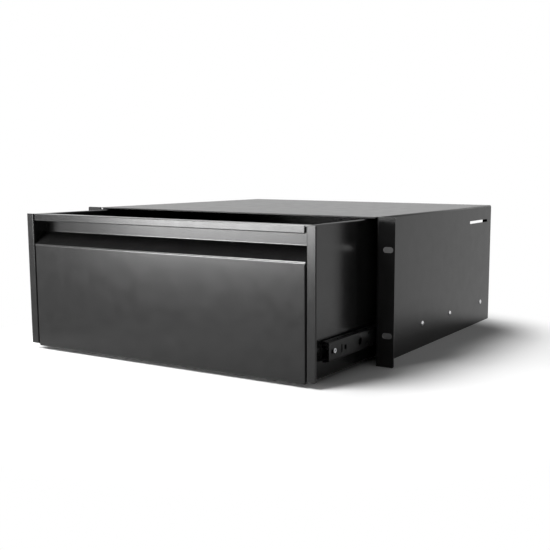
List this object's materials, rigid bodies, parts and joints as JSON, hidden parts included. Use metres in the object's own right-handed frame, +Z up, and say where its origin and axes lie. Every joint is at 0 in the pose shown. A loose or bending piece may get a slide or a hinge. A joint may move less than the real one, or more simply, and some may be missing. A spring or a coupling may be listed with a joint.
{
  "type": "sliding rack drawer",
  "caption": "Rack-mount sliding drawer in a folded sheet-metal casing, with a full-width finger recess and telescopic ball-bearing slides.",
  "frame": {"origin": "centre of the rack slot pattern, on the rear face of the ears, which seats on the rack's rails", "axes": "+X to the right seen from the front, +Y into the rack, +Z up"},
  "size_m": [0.4826, 0.524, 0.177],
  "materials": {
    "black_powder_coat": "satin fine powder coat",
    "black_slide_steel": "black electroplated steel",
    "bright_zinc": "bright zinc plate",
    "ball_steel": "polished",
    "cage_steel": "plain pressed steel",
    "black_rubber": "matt"
  },
  "bodies": {
    "casing": {"casing_shell": "black_powder_coat", "rear_tie_bar": "black_powder_coat", "casing_rivets_left": "bright_zinc", "casing_rivets_right": "bright_zinc", "cabinet_member_left": "black_slide_steel", "cabinet_member_right": "black_slide_steel", "slide_bumper_left": "black_rubber", "slide_bumper_right": "black_rubber"},
    "outer_cages": {"outer_cage_left": "cage_steel", "outer_cage_right": "cage_steel", "outer_balls_left": "ball_steel", "outer_balls_right": "ball_steel"},
    "slide_middle": {"middle_member_left": "black_slide_steel", "middle_member_right": "black_slide_steel"},
    "inner_cages": {"inner_cage_left": "cage_steel", "inner_cage_right": "cage_steel", "inner_balls_left": "ball_steel", "inner_balls_right": "ball_steel"},
    "drawer": {"drawer_tray": "black_powder_coat", "drawer_front_panel": "black_powder_coat", "drawer_rear_wall": "black_powder_coat", "drawer_member_left": "black_slide_steel", "drawer_member_right": "black_slide_steel", "member_screws_left": "bright_zinc", "member_screws_right": "bright_zinc"}
  },
  "joints": [
    {"name": "outer_stage", "type": "slide", "parent": "casing", "child": "slide_middle", "axis": [0, -1, 0], "range_m": [-0.134, 0.041]},
    {"name": "inner_stage", "type": "slide", "parent": "slide_middle", "child": "drawer", "axis": [0, -1, 0], "range_m": [0, 0.175]},
    {"name": "outer_cage_roll", "type": "slide", "parent": "casing", "child": "outer_cages", "axis": [0, -1, 0], "range_m": [-0.067, 0.0205]},
    {"name": "inner_cage_roll", "type": "slide", "parent": "slide_middle", "child": "inner_cages", "axis": [0, -1, 0], "range_m": [0, 0.0875]}
  ],
  "couplings": [
    {"joint": "outer_cage_roll", "follows": "outer_stage", "ratio": 0.5},
    {"joint": "inner_cage_roll", "follows": "inner_stage", "ratio": 0.5}
  ]
}
